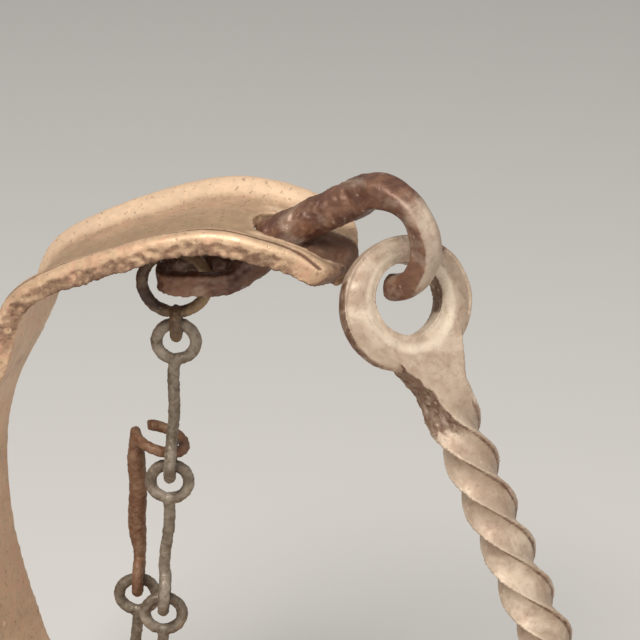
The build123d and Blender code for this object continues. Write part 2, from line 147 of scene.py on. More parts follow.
@dataclass(frozen=True)
class Unevenness:
    """One layer of unevenness: its kind, the size of its marks and its depth in metres, and where it lies."""

    kind: Relief
    size: float
    depth: float
    group: str = ""

    def press(self, piece: bpy.types.Object) -> None:
        """Press this layer into a mesh along its normals.

        Args:
            piece: the object whose mesh is shaped.
        """
        texture = bpy.data.textures.new("unevenness", "CLOUDS")
        texture.noise_scale = self.size
        modifier = piece.modifiers.new("unevenness", "DISPLACE")
        modifier.texture = texture
        modifier.texture_coords = "LOCAL"
        modifier.strength = self.depth
        modifier.mid_level = 0.5
        if self.kind is Relief.PITTED:
            texture.noise_depth = 2
            texture.contrast = 4.0
            texture.intensity = 0.25
            modifier.strength = -self.depth
            modifier.mid_level = 0.1
        if self.group:
            modifier.vertex_group = self.group
        apply_modifiers(piece)


FORGED_MARKS = (
    Unevenness(Relief.HAMMERED, 5.0 * MM, 0.4 * MM),
    Unevenness(Relief.HAMMERED, 1.7 * MM, 0.07 * MM),
    Unevenness(Relief.HAMMERED, 1.6 * MM, 0.2 * MM, "pitted"),
    Unevenness(Relief.PITTED, 1.0 * MM, 0.12 * MM, "pitted"),
)
HANGER_MARKS = (
    Unevenness(Relief.HAMMERED, 6.0 * MM, 0.3 * MM),
    Unevenness(Relief.HAMMERED, 1.8 * MM, 0.07 * MM),
    Unevenness(Relief.HAMMERED, 2.4 * MM, 0.4 * MM, "pitted"),
    Unevenness(Relief.PITTED, 1.1 * MM, 0.12 * MM, "pitted"),
)
WIRE_MARKS = (
    Unevenness(Relief.HAMMERED, 1.6 * MM, 0.11 * MM),
    Unevenness(Relief.PITTED, 0.6 * MM, 0.06 * MM),
)
CAST_MARKS = (
    Unevenness(Relief.HAMMERED, 8.0 * MM, 0.25 * MM),
    Unevenness(Relief.HAMMERED, 2.0 * MM, 0.05 * MM),
    Unevenness(Relief.HAMMERED, 2.6 * MM, 0.4 * MM, "pitted"),
    Unevenness(Relief.HAMMERED, 1.0 * MM, 0.3 * MM, "pitted"),
    Unevenness(Relief.PITTED, 0.8 * MM, 0.16 * MM, "pitted"),
)
PAN_MARKS = (
    Unevenness(Relief.HAMMERED, 9.0 * MM, 0.28 * MM),
    Unevenness(Relief.HAMMERED, 2.2 * MM, 0.08 * MM),
)


class Recipe:
    """The node tree of one material, written step by step."""

    def __init__(self, name: str) -> None:
        """Start an empty material with a shader and an output.

        Args:
            name: the material's name.
        """
        self.material = bpy.data.materials.new(name)
        self.material.use_nodes = True
        self.tree = self.material.node_tree
        self.tree.nodes.clear()
        self.shader = self.tree.nodes.new("ShaderNodeBsdfPrincipled")
        out = self.tree.nodes.new("ShaderNodeOutputMaterial")
        self.tree.links.new(self.shader.outputs["BSDF"], out.inputs["Surface"])
        self.place = self.tree.nodes.new("ShaderNodeTexCoord").outputs["Object"]

    def noise(self, size: float, detail: float = 4.0, rough: float = 0.6, warp: float = 0.0) -> Socket:
        """Soft spots of a size in metres.

        Args:
            size: how large the spots are.
            detail: how many finer layers they have.
            rough: how strong the finer layers are.
            warp: how much the pattern swirls.

        Returns:
            The noise value.
        """
        node = self.tree.nodes.new("ShaderNodeTexNoise")
        node.inputs["Scale"].default_value = 1 / size
        node.inputs["Detail"].default_value = detail
        node.inputs["Roughness"].default_value = rough
        node.inputs["Distortion"].default_value = warp
        self.tree.links.new(self.place, node.inputs["Vector"])
        return node.outputs["Fac"]

    def attribute(self, name: str) -> Socket:
        """A value that paint stored on the mesh."""
        node = self.tree.nodes.new("ShaderNodeAttribute")
        node.attribute_name = name
        return node.outputs["Fac"]

    def edges(self) -> Socket:
        """High on sharp crests and low in creases."""
        return self.tree.nodes.new("ShaderNodeNewGeometry").outputs["Pointiness"]

    def spread(self, value: Socket, low: float, high: float, start: float = 0.0, end: float = 1.0) -> Socket:
        """Stretch a value so that low becomes start and high becomes end, and stop there.

        Args:
            value: the value to stretch.
            low: what becomes start.
            high: what becomes end.
            start: the lowest result.
            end: the highest result.

        Returns:
            The stretched value.
        """
        node = self.tree.nodes.new("ShaderNodeMapRange")
        node.inputs["From Min"].default_value = low
        node.inputs["From Max"].default_value = high
        node.inputs["To Min"].default_value = start
        node.inputs["To Max"].default_value = end
        self.tree.links.new(value, node.inputs["Value"])
        return node.outputs["Result"]

    def combine(self, how: str, first: Socket, second: Socket | float) -> Socket:
        """Join two values by a sum, product or the like.

        Args:
            how: the operation's name.
            first: one value.
            second: the other value or a fixed number.

        Returns:
            The joined value, kept between 0 and 1.
        """
        node = self.tree.nodes.new("ShaderNodeMath")
        node.operation = how
        node.use_clamp = True
        self.tree.links.new(first, node.inputs[0])
        if isinstance(second, (int, float)):
            node.inputs[1].default_value = second
        else:
            self.tree.links.new(second, node.inputs[1])
        return node.outputs[0]

    def ragged(self, value: Socket, size: float, spill: float) -> Socket:
        """Break the border of a painted value into spots.

        Args:
            value: the painted value.
            size: how large the spots are.
            spill: how far they spread over the border.

        Returns:
            The broken value.
        """
        spots = self.combine("MULTIPLY", self.noise(size, 6, 0.72, 0.3), spill)
        return self.spread(self.combine("SUBTRACT", value, spots), 0.05, 0.4)

    def blend(self, share: Socket, under: Socket | Colour, over: Socket | Colour) -> Socket:
        """Lay one colour over another by a share.

        Args:
            share: 0 shows the under colour, 1 the over colour.
            under: the colour below.
            over: the colour on top.

        Returns:
            The mixed colour.
        """
        node = self.tree.nodes.new("ShaderNodeMix")
        node.data_type = "RGBA"
        self.tree.links.new(share, node.inputs[0])
        for place, colour in ((6, under), (7, over)):
            if isinstance(colour, tuple):
                node.inputs[place].default_value = colour
            else:
                self.tree.links.new(colour, node.inputs[place])
        return node.outputs[2]

    def bump(self, height: Socket, depth: float, strength: float, under: Socket | None = None) -> Socket:
        """Raise a surface by a height pattern.

        Args:
            height: the pattern.
            depth: its full height in metres.
            strength: how much of it shows.
            under: an earlier bump that this one stands on.

        Returns:
            The bumped normal.
        """
        node = self.tree.nodes.new("ShaderNodeBump")
        node.inputs["Strength"].default_value = abs(strength)
        node.inputs["Distance"].default_value = depth
        node.invert = strength < 0
        self.tree.links.new(height, node.inputs["Height"])
        if under is not None:
            self.tree.links.new(under, node.inputs["Normal"])
        return node.outputs["Normal"]

    def finish(self, colour: Socket, roughness: Socket, normal: Socket, metal: float) -> bpy.types.Material:
        """Join the parts to the shader.

        Args:
            colour: the base colour.
            roughness: 0 for a mirror to 1 for chalk.
            normal: the bumped normal.
            metal: how metallic the surface is.

        Returns:
            The finished material.
        """
        self.tree.links.new(colour, self.shader.inputs["Base Color"])
        self.tree.links.new(roughness, self.shader.inputs["Roughness"])
        self.tree.links.new(normal, self.shader.inputs["Normal"])
        self.shader.inputs["Metallic"].default_value = metal
        return self.material


@dataclass(frozen=True)
class AgedBrass:
    """Cast brass: creamy where it is rubbed and brighter where highlights are painted, greyer in the flute where its
    shade is partly painted, brown in creases, in dirty places and where painted shade falls.
    """

    name: str
    bright: Colour = shade(240, 206, 172)
    plain: Colour = shade(210, 175, 140)
    dull_and_shade: Colour = shade(176, 146, 114)
    blush: Colour = shade(214, 166, 136)
    grime_and_shade: Colour = shade(104, 70, 54)
    metal: float = 0.35

    def material(self) -> bpy.types.Material:
        """Write the brass."""
        recipe = Recipe(self.name)
        broad = recipe.spread(recipe.noise(8 * MM, 4, 0.6, 0.5), 0.4, 0.62)
        fine = recipe.spread(recipe.noise(1.3 * MM, 5, 0.65, 0.4), 0.4, 0.64)
        body = recipe.blend(recipe.combine("MULTIPLY", broad, 0.85), self.plain, self.dull_and_shade)
        body = recipe.blend(recipe.combine("MULTIPLY", fine, 0.45), body, self.bright)
        pink = recipe.spread(recipe.noise(3.2 * MM, 5, 0.7, 0.8), 0.48, 0.64, 0.0, 0.8)
        body = recipe.blend(pink, body, self.blush)
        # the flute's duller tone, which is partly its painted shade
        body = recipe.blend(recipe.combine("MULTIPLY", recipe.attribute("dull_and_shade"), 0.75), body, self.dull_and_shade)
        crest = recipe.spread(recipe.edges(), 0.51, 0.58, 0.0, 0.8)
        # rubbed crests, and the painted wear with its painted highlights, go to the bright colour
        wear_and_highlight = recipe.combine("MAXIMUM", crest, recipe.ragged(recipe.attribute("wear_and_highlight"), 2.6 * MM, 0.6))
        body = recipe.blend(wear_and_highlight, body, self.bright)
        # darker in creases
        crease = recipe.spread(recipe.edges(), 0.48, 0.41)
        # the painted value here holds dirt and painted shade, laid in the brown colour
        dirt = recipe.combine("MAXIMUM", crease, recipe.ragged(recipe.attribute("grime_and_shade"), 1.2 * MM, 0.75))
        body = recipe.blend(recipe.combine("MULTIPLY", dirt, 0.85), body, self.grime_and_shade)
        specks = recipe.spread(recipe.noise(0.7 * MM, 2, 0.5), 0.62, 0.72)
        body = recipe.blend(recipe.combine("MULTIPLY", specks, 0.45), body, self.grime_and_shade)
        rough = recipe.spread(recipe.combine("ADD", recipe.combine("MULTIPLY", dirt, 0.5), fine), 0.0, 1.3, 0.4, 0.72)
        normal = recipe.bump(recipe.noise(2.6 * MM, 3, 0.5), 0.2 * MM, 0.3)
        normal = recipe.bump(recipe.noise(0.5 * MM, 4, 0.65), 0.04 * MM, 0.4, normal)
        normal = recipe.bump(specks, 0.05 * MM, -0.4, normal)
        return recipe.finish(body, rough, normal, self.metal)


@dataclass(frozen=True)
class ForgedIron:
    """Old forged iron: rust in the pits, rubbed to grey or buff where it is handled, with painted highlights laid in
    the pale colour and painted shade in the dark ones.
    """

    name: str
    wear_and_highlight: Colour = shade(205, 186, 164)
    plain: Colour = shade(160, 134, 112)
    rust: Colour = shade(122, 88, 66)
    deep: Colour = shade(58, 40, 33)
    stain_and_shade: Colour | None = None
    pits: float = 0.6
    grain: float = 2.2 * MM
    metal: float = 0.25
    gloss: float = 0.42

    def material(self) -> bpy.types.Material:
        """Write the iron."""
        recipe = Recipe(self.name)
        cloud = recipe.spread(recipe.noise(self.grain, 5, 0.66, 0.5), 0.36, 0.62)
        body = recipe.blend(cloud, self.rust, self.plain)
        body = recipe.blend(recipe.spread(recipe.noise(6 * MM, 4, 0.6, 0.6), 0.5, 0.68, 0.0, 0.6), body, self.wear_and_highlight)
        # the painted value here holds wear and painted highlights, laid in the pale colour
        body = recipe.blend(recipe.ragged(recipe.attribute("wear_and_highlight"), 2.0 * MM, 0.7), body, self.wear_and_highlight)
        # the painted value here holds dirt and painted shade; it goes to the colour given for dirt, or to the rust
        # colour where none is given
        dirt = recipe.ragged(recipe.attribute("grime_and_shade"), 1.4 * MM, 0.8)
        patches = recipe.spread(recipe.noise(1.8 * MM, 5, 0.7, 0.6), 0.36, 0.62, 1.0, 0.55)
        body = recipe.blend(recipe.combine("MULTIPLY", dirt, patches), body, self.stain_and_shade or self.rust)
        crest = recipe.spread(recipe.edges(), 0.54, 0.68, 0.0, 0.6)
        body = recipe.blend(crest, body, self.wear_and_highlight)
        holes = recipe.spread(recipe.noise(0.75 * MM, 3, 0.55, 0.4), 0.58, 0.68)
        # darker in creases
        crease = recipe.spread(recipe.edges(), 0.47, 0.38)
        spots = recipe.combine("MULTIPLY", holes, recipe.spread(dirt, 0.0, 1.0, 0.25 * self.pits, self.pits))
        body = recipe.blend(recipe.combine("MAXIMUM", spots, crease), body, self.deep)
        rough = recipe.spread(recipe.noise(1.5 * MM, 3), 0.3, 0.7, self.gloss, self.gloss + 0.24)
        normal = recipe.bump(recipe.noise(2.2 * MM, 3, 0.55), 0.25 * MM, 0.35)
        normal = recipe.bump(holes, 0.12 * MM, -0.75 * self.pits, normal)
        normal = recipe.bump(recipe.noise(0.4 * MM, 3, 0.65), 0.05 * MM, 0.5, normal)
        return recipe.finish(body, rough, normal, self.metal)


class Finish(Enum):
    """The finishes on this lamp."""

    ARM = AgedBrass("aged_brass_arm")
    PAN = AgedBrass(
        "aged_brass_pan",
        bright=shade(228, 192, 156), plain=shade(196, 160, 124), dull_and_shade=shade(150, 118, 90),
        blush=shade(178, 134, 104), grime_and_shade=shade(84, 60, 46),
    )
    RING = ForgedIron(
        "iron_ring",
        wear_and_highlight=shade(190, 170, 150), plain=shade(138, 100, 78), rust=shade(98, 66, 53), deep=shade(48, 33, 30),
        pits=0.45, grain=3.0 * MM, gloss=0.36,
    )
    HANGER = ForgedIron(
        "iron_hanger",
        wear_and_highlight=shade(228, 210, 186), plain=shade(192, 170, 148), rust=shade(172, 146, 124), deep=shade(72, 50, 40),
        stain_and_shade=shade(108, 74, 54), pits=0.5, grain=2.0 * MM, gloss=0.46,
    )
    CHAIN = ForgedIron(
        "iron_chain",
        wear_and_highlight=shade(186, 170, 152), plain=shade(134, 120, 104), rust=shade(96, 82, 66), grain=1.4 * MM,
    )
    DARK = ForgedIron(
        "iron_dark",
        wear_and_highlight=shade(150, 124, 92), plain=shade(88, 66, 54), rust=shade(64, 46, 38), deep=shade(30, 22, 19),
        grain=1.6 * MM, gloss=0.36,
    )
    PICK = ForgedIron(
        "iron_pick",
        wear_and_highlight=shade(168, 138, 112), plain=shade(134, 100, 74), rust=shade(108, 70, 48), grain=1.6 * MM,
    )


MATERIALS: dict[Finish, bpy.types.Material] = {}


def dress(piece: bpy.types.Object, finish: Finish) -> None:
    """Give an object one finish all over.

    Args:
        piece: the object.
        finish: which finish.
    """
    if finish not in MATERIALS:
        MATERIALS[finish] = finish.value.material()
    piece.data.materials.clear()
    piece.data.materials.append(MATERIALS[finish])


@dataclass
class WorkedPiece:
    """A cast or forged piece: the solid of its node, softened, worked and roughened like the real one."""

    node: str
    body: str
    finish: Finish
    slot: str
    voxel: float = 0.35 * MM
    soften: int = 2
    layers: tuple[Unevenness, ...] = ()

    def copy_solid(self) -> bpy.types.Object:
        """Copy the node's solid with its loose triangles joined.

        Returns:
            The new object, with a mesh of its own.
        """
        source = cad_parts[self.node]
        piece = bpy.data.objects.new(self.node + "_worked", source.data.copy())
        bpy.context.scene.collection.objects.link(piece)
        pick_only(piece)
        bpy.ops.object.mode_set(mode="EDIT")
        bpy.ops.mesh.select_all(action="SELECT")
        bpy.ops.mesh.remove_doubles(threshold=0.002 * MM)
        bpy.ops.mesh.normals_make_consistent(inside=False)
        bpy.ops.object.mode_set(mode="OBJECT")
        return piece

    def rebuild_skin(self, piece: bpy.types.Object) -> None:
        """Cover the copy with small even faces and soften its edges.

        Args:
            piece: the copy.
        """
        skin = piece.modifiers.new("skin", "REMESH")
        skin.mode = "VOXEL"
        skin.voxel_size = self.voxel
        skin.adaptivity = 0.0
        if self.soften:
            soft = piece.modifiers.new("soft", "SMOOTH")
            soft.iterations = self.soften
            soft.factor = 0.5
        apply_modifiers(piece)

    def work(self, points: np.ndarray, normals: np.ndarray) -> np.ndarray:
        """Move the skin where hammer or mould shaped the real piece.

        Args:
            points: the vertices, in metres.
            normals: their normals.

        Returns:
            The moved vertices.
        """
        return points

    def pitted(self, points: np.ndarray, normals: np.ndarray) -> np.ndarray:
        """Say how deep the marks of the group "pitted" go, 0 to 1 per vertex."""
        return np.ones(len(points))

    def looks(self, points: np.ndarray, normals: np.ndarray) -> dict[str, np.ndarray]:
        """Say how much dirt and painted shade, wear and painted highlight, and duller tone with painted shade each
        vertex gets.

        Args:
            points: the vertices, in metres.
            normals: their normals.

        Returns:
            Values of 0 to 1 per vertex, by name.
        """
        return {}

    def build(self) -> bpy.types.Object:
        """Make the piece, dress it and tie it to its body.

        Returns:
            The finished object.
        """
        piece = self.copy_solid()
        self.rebuild_skin(piece)
        put_points(piece, self.work(points_of(piece), normals_of(piece)))
        share = self.pitted(points_of(piece), normals_of(piece))
        group = piece.vertex_groups.new(name="pitted")
        for index in np.nonzero(share > 0.02)[0]:
            group.add([int(index)], float(share[index]), "REPLACE")
        for layer in self.layers:
            layer.press(piece)
        for name, values in self.looks(points_of(piece), normals_of(piece)).items():
            paint(piece, name, values)
        pick_only(piece)
        bpy.ops.object.shade_smooth()
        dress(piece, self.finish)
        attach(piece, self.body)
        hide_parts(self.node)
        log.info("%s: %d vertices", piece.name, len(piece.data.vertices))
        return piece


SLOT_PLACE = np.array([-8.0, 0.0, 122.0]) * MM
CAKED_DIRT = (
    ((3.6, 0.0, -4.3), 25.0, (2.7, 3.7, 0.95)),
    ((4.4, 3.0, -4.4), 25.0, (2.8, 2.6, 1.5)),
    ((2.0, 4.0, -3.4), 20.0, (2.6, 1.5, 1.3)),
    ((0.6, 3.2, -3.9), 20.0, (2.1, 1.6, 1.3)),
    ((-7.1, 0.0, -0.7), 0.0, (1.1, 2.4, 0.7)),
    ((-6.7, 2.4, -0.9), 0.0, (1.4, 1.5, 0.9)),
)


@dataclass
class ArchedArm(WorkedPiece):
    """The gutter-shaped arm with its two raised rims and the slot in its tip."""

    node: str = "arm"
    body: str = "lamp"
    finish: Finish = Finish.ARM
    slot: str = "brass"
    voxel: float = 0.36 * MM
    half_width: float = 11.5 * MM
    crease: float = 9.9 * MM
    crease_depth: float = 0.3 * MM

    def copy_solid(self) -> bpy.types.Object:
        """Copy the solid and pack the ends of the slot with caked dirt.

        Returns:
            The arm with the dirt in it.
        """
        piece = super().copy_solid()
        clumps = [piece]
        for place, lean, size in CAKED_DIRT:
            bpy.ops.object.select_all(action="DESELECT")
            bpy.ops.mesh.primitive_uv_sphere_add(segments=24, ring_count=12, radius=1 * MM)
            clump = bpy.context.active_object
            clump.scale = size
            clump.rotation_euler = (0, math.radians(lean), 0)
            clump.location = Vector(SLOT_PLACE) + Vector(place) * MM
            bpy.ops.object.transform_apply(location=True, rotation=True, scale=True)
            clumps.append(clump)
        pick_only(piece)
        for clump in clumps:
            clump.select_set(True)
        bpy.ops.object.join()
        return piece

    def work(self, points: np.ndarray, normals: np.ndarray) -> np.ndarray:
        """Cut the fine crease beside the front rim."""
        open_face = step(normals[:, 2], 0.2, 0.6)
        cut = bell(points[:, 1] + self.crease, 0.36 * MM) * open_face * step(points[:, 2], 60 * MM, 90 * MM)
        near_slot = bell(np.linalg.norm(points - SLOT_PLACE, axis=1), 8 * MM)
        return points - normals * (cut * self.crease_depth * (1 - near_slot))[:, None]

    def pitted(self, points: np.ndarray, normals: np.ndarray) -> np.ndarray:
        """The lower edges are rough as cast."""
        share = step(np.abs(points[:, 1]), self.half_width - 1.8 * MM, self.half_width - 0.5 * MM)
        slot = np.linalg.norm(points - SLOT_PLACE - np.array([4, 0, -4]) * MM, axis=1)
        return np.maximum(share * step(-normals[:, 2], -0.35, 0.25), 0.7 * (1 - step(slot, 4.5 * MM, 6 * MM)))

    def looks(self, points: np.ndarray, normals: np.ndarray) -> dict[str, np.ndarray]:
        """Brown from dirt on the lower edges and round the slot, with painted shade along the front crease line, in the
        slot, on the tip behind the hook's bar and underneath; painted highlights on the far rim and the slot's lip; a
        duller flute that is partly its painted shade.
        """
        side = np.abs(points[:, 1])
        slot = np.linalg.norm((points - SLOT_PLACE - np.array([5, 0, -2]) * MM) * np.array([0.8, 1.1, 1.0]), axis=1)
        # painted shade: the dark line where the front rim hides the flute
        line = bell(points[:, 1] + self.crease, 0.35 * MM) * step(normals[:, 2], 0.1, 0.4)
        edge = step(side, self.half_width - 1.2 * MM, self.half_width - 0.4 * MM) * step(-normals[:, 2], -0.45, 0.1)
        grime_and_shade = np.maximum.reduce([
            line,
            0.72 * edge,
            # dirt and painted shade round the slot
            0.85 * bell(np.maximum(slot - 4.4 * MM, 0), 1.4 * MM),
            # painted shade on faces that look down
            0.8 * step(-normals[:, 2], 0.2, 0.7),
            # dirt and the hook bar's painted shadow on the tip
            0.75 * step(points[:, 0], -4 * MM, -0.5 * MM) * (1 - step(points[:, 1], 3 * MM, 6 * MM)),
        ])
        # painted highlight along the far rim
        far = bell(points[:, 1] - (self.half_width - 2.5 * MM), 3.2 * MM) * step(normals[:, 2], 0.0, 0.5)
        # painted highlight on the slot's far lip
        lip = bell(side - 4.6 * MM, 1.2 * MM) * step(points[:, 0], -17 * MM, -12 * MM) * step(normals[:, 2], 0.4, 0.8)
        # duller flute, partly its painted shade
        dull_and_shade = bell(points[:, 1] + 3 * MM, 6 * MM) * step(normals[:, 2], 0.3, 0.7)
        return {"grime_and_shade": grime_and_shade, "wear_and_highlight": np.maximum(0.85 * far, 0.7 * lip), "dull_and_shade": dull_and_shade}


RING_PLACE = np.array([4.7, -2.07, 121.8]) * MM
RING_OUT = np.array([math.cos(math.radians(-25)), math.sin(math.radians(-25)), 0.0])
RING_AXIS = np.cross(RING_OUT, np.array([0.0, 0.0, 1.0]))
UP = np.array([0.0, 0.0, 1.0])


@dataclass
class SwivelHook(WorkedPiece):
    """The forged hook: a ring above the arm, a shank through the slot and a strap loop below."""

    node: str = "swivel_hook"
    body: str = "hook"
    finish: Finish = Finish.RING
    slot: str = "iron"
    voxel: float = 0.22 * MM
    soften: int = 4
    ring_radius: float = 7.0 * MM
    squareness: float = 0.075

    def ring_angles(self, points: np.ndarray) -> tuple[np.ndarray, np.ndarray, np.ndarray, np.ndarray]:
        """Where each vertex lies on the ring.

        Args:
            points: the vertices, in metres.

        Returns:
            Degrees round the ring, angle round the bar, distance from the bar's middle, and the way outwards.
        """
        away = points - RING_PLACE
        across, upward = away @ RING_OUT, away[:, 2]
        reach = np.maximum(np.hypot(across, upward), 1e-6)
        outwards = (RING_OUT[None, :] * across[:, None] + UP[None, :] * upward[:, None]) / reach[:, None]
        radial, side = reach - self.ring_radius, away @ RING_AXIS
        return np.degrees(np.arctan2(upward, across)), np.arctan2(side, radial), np.hypot(radial, side), outwards

    def work(self, points: np.ndarray, normals: np.ndarray) -> np.ndarray:
        """Beat flats on the ring, so that its section is a rounded square with a ridge."""
        turn, angle, thick, outwards = self.ring_angles(points)
        on_ring = step(turn, -78, -60) * (1 - step(turn, 118, 142)) * (thick < 3.6 * MM)
        flats = self.squareness * np.cos(4 * (angle + 0.55 - 0.25 * np.sin(np.radians(turn) * 2)))
        grow = thick * (flats - 0.02) * on_ring
        return points + outwards * (np.cos(angle) * grow)[:, None] + RING_AXIS[None, :] * (np.sin(angle) * grow)[:, None]

    def pitted(self, points: np.ndarray, normals: np.ndarray) -> np.ndarray:
        """The shank is rough where it goes through the arm; the ring is rubbed smooth."""
        return 1 - step(points[:, 0], -2 * MM, 4 * MM)

    def looks(self, points: np.ndarray, normals: np.ndarray) -> dict[str, np.ndarray]:
        """Dark by the slot and below the arm from rust and painted shade, painted shade inside the ring; grey from wear
        and painted light on the outer right side; painted light on the strap loop's front wall.
        """
        turn, angle, thick, outwards = self.ring_angles(points)
        below = 1 - step(points[:, 2], 116 * MM, 121 * MM)
        left = 1 - step(points[:, 0], -6 * MM, 4 * MM)
        # by the slot: dirt and painted shade
        inner = bell(np.linalg.norm(points - SLOT_PLACE, axis=1), 7 * MM)
        # painted shade on the ring's inner side
        inside = 0.75 * step((normals * -outwards).sum(axis=1), 0.2, 0.8) * step(points[:, 0], 0.0, 3 * MM)
        # wear and painted light on the outer right side
        outer = step((normals * outwards).sum(axis=1), 0.1, 0.7) * step(points[:, 0], 7 * MM, 11 * MM)
        end = step(turn, -100, -85) * (1 - step(turn, -60, -40)) * (thick < 3.6 * MM)
        # the strap loop's wall that faces the front is kept lighter: painted light
        wall = step(-normals[:, 1], 0.3, 0.8) * below * step(-points[:, 1], 3.2 * MM, 3.8 * MM)
        # below the arm: rust and the arm's painted shadow
        grime_and_shade = np.maximum(np.maximum(0.95 * below * left * (1 - wall), 0.6 * inner * (1 - wall)), inside * (1 - end))
        return {"grime_and_shade": grime_and_shade, "wear_and_highlight": np.maximum.reduce([0.68 * outer, 0.45 * end * (1 - left), 0.3 * wall])}


HANGER_LEAN = math.radians(29.1)
HANGER_DOWN = RING_OUT * math.sin(HANGER_LEAN) - UP * math.cos(HANGER_LEAN)
EYE_LEAN = math.radians(24)
EYE_PLACE = RING_PLACE + (RING_OUT * math.sin(EYE_LEAN) - UP * math.cos(EYE_LEAN)) * 9.4 * MM
EYE_SIDE = np.cross(HANGER_DOWN, RING_AXIS)
EYE_ACROSS = EYE_SIDE * math.cos(math.radians(70)) + RING_AXIS * math.sin(math.radians(70))
EYE_FACE = np.cross(HANGER_DOWN, EYE_ACROSS)


@dataclass
class Hanger(WorkedPiece):
    """The hanger: a flat eye, a neck and a twisted square shank with spike and side hook."""

    node: str = "hanger"
    body: str = "hanger"
    finish: Finish = Finish.HANGER
    slot: str = "iron"
    voxel: float = 0.24 * MM
    soften: int = 1
    twist_start: float = 12.5 * MM
    twist_lead: float = 7.0 * MM
    twist_end: float = 80.0 * MM
    twist_turn: float = 27.0 * MM
    hollow: float = 0.14 * MM
    lip: float = 0.5 * MM
    bevel: float = 0.55 * MM

    def along(self, points: np.ndarray) -> np.ndarray:
        """Distance of each vertex down the shank from the middle of the eye."""
        return (points - EYE_PLACE) @ HANGER_DOWN

    def past_crest(self, points: np.ndarray) -> tuple[np.ndarray, np.ndarray, np.ndarray]:
        """Where each vertex lies between the crests of the twist.

        Args:
            points: the vertices, in metres.

        Returns:
            Degrees past the nearest crest, the share of the twist, and the way out from the middle of the shank.
        """
        along = self.along(points)
        done = along - self.twist_start
        turned = np.where(done < self.twist_lead, done**2 / (2 * self.twist_lead), done - self.twist_lead / 2)
        turned = np.clip(turned, 0, self.twist_end - self.twist_start - self.twist_lead / 2)
        away = points - EYE_PLACE - HANGER_DOWN[None, :] * along[:, None]
        angle = np.degrees(np.arctan2(away @ EYE_FACE, away @ EYE_ACROSS)) + 360 * turned / self.twist_turn
        thick = np.linalg.norm(away, axis=1)
        share = step(along, 13 * MM, 17 * MM) * (1 - step(along, 78 * MM, 88 * MM)) * (thick < 5 * MM)
        return np.mod(angle, 90) - 45, share, away / np.maximum(thick, 1e-6)[:, None]

    def work(self, points: np.ndarray, normals: np.ndarray) -> np.ndarray:
        """Draw the faces of the twist in and let each crest lap over the face below it."""
        past, share, outwards = self.past_crest(points)
        middle = 0.5 - 0.5 * np.cos(np.radians(4 * past))
        on = np.mod(past, 90) / 90
        under = step(on, 0.0, 0.05) * (1 - on) ** 1.3
        moved = points - outwards * ((self.hollow * middle + self.lip * under) * share)[:, None]
        away = points - EYE_PLACE
        flat = np.linalg.norm(away - EYE_FACE[None, :] * (away @ EYE_FACE)[:, None], axis=1)
        facing = normals @ EYE_FACE
        sloped = 0.6 * (1 - step(flat, 5.6 * MM, 6.8 * MM)) + step(flat, 7.4 * MM, 9.6 * MM)
        sloped *= step(np.abs(facing), 0.5, 0.9) * (1 - step(self.along(points), 4 * MM, 7 * MM))
        return moved - EYE_FACE[None, :] * (np.sign(facing) * self.bevel * sloped)[:, None]

    def left(self, points: np.ndarray, normals: np.ndarray) -> np.ndarray:
        """High on faces of neck and eye that look to the lamp's back."""
        facing = step(normals @ (EYE_ACROSS * -np.sign(EYE_ACROSS[0])), 0.45, 0.75)
        return facing * (1 - step(self.along(points), 17 * MM, 23 * MM))

    def pitted(self, points: np.ndarray, normals: np.ndarray) -> np.ndarray:
        """The neck's left side is deeply pitted."""
        return self.left(points, normals) * step(self.along(points), 4 * MM, 9 * MM)

    def looks(self, points: np.ndarray, normals: np.ndarray) -> dict[str, np.ndarray]:
        """Dark where the ring rubs and on the sides that look to the back, from rust and painted shade; painted shade
        in a line and a shadow below each crest and on faces that look down; rubbed edges with painted highlights above
        each crest.
        """
        away = points - EYE_PLACE
        along = self.along(points)
        flat = np.linalg.norm(away - EYE_FACE[None, :] * (away @ EYE_FACE)[:, None], axis=1)
        # rust and the ring's painted shadow on the eye's top
        top = step(-along, 2.5 * MM, 5.5 * MM) * step(away @ RING_OUT, -2.5 * MM, 0.5 * MM) * (1 - step(points[:, 0], 13 * MM, 15 * MM))
        inner = 0.35 * (1 - step(flat, 5.2 * MM, 6.0 * MM)) * step(along, -1 * MM, 2 * MM)
        past, share, outwards = self.past_crest(points)
        # painted shade: a dark line below each crest
        line = bell(past - 4.5, 3.2) * share
        # painted shadow on the face below each crest
        shadow = step(past, 0, 5) * (1 - step(past, 10, 34)) * share
        # painted shade on faces that look down
        low = 0.4 * step(-normals[:, 2], 0.4, 0.9) * step(along, 22 * MM, 30 * MM)
        # the sides that look to the back are rust and painted shade
        grime_and_shade = np.maximum.reduce([0.95 * top, inner, 0.85 * self.left(points, normals), low, 0.95 * line, 0.42 * shadow])
        facing = step(np.abs(normals @ EYE_FACE), 0.6, 0.9) * (1 - top)
        inner_zone = bell(flat - 6.4 * MM, 1.2 * MM) * (1 - step(along, 8 * MM, 12 * MM))
        outer_zone = step(flat, 7.4 * MM, 8.6 * MM) * (1 - step(away @ RING_OUT, -1 * MM, 4 * MM)) * (1 - step(along, 5 * MM, 8 * MM))
        grime_and_shade = np.maximum(grime_and_shade, 0.34 * outer_zone * facing)
        streaks = np.sin(along * 500 + 7 * np.sin((away @ EYE_FACE) * 1400))
        golden = 0.8 * self.left(points, normals) * step(streaks, 0.2, 0.9)
        # rubbed edge with a painted highlight above each crest
        rim = bell(past + 5.0, 6.0) * share
        return {"grime_and_shade": grime_and_shade, "wear_and_highlight": np.maximum.reduce([0.7 * facing * inner_zone, 0.5 * rim, golden])}


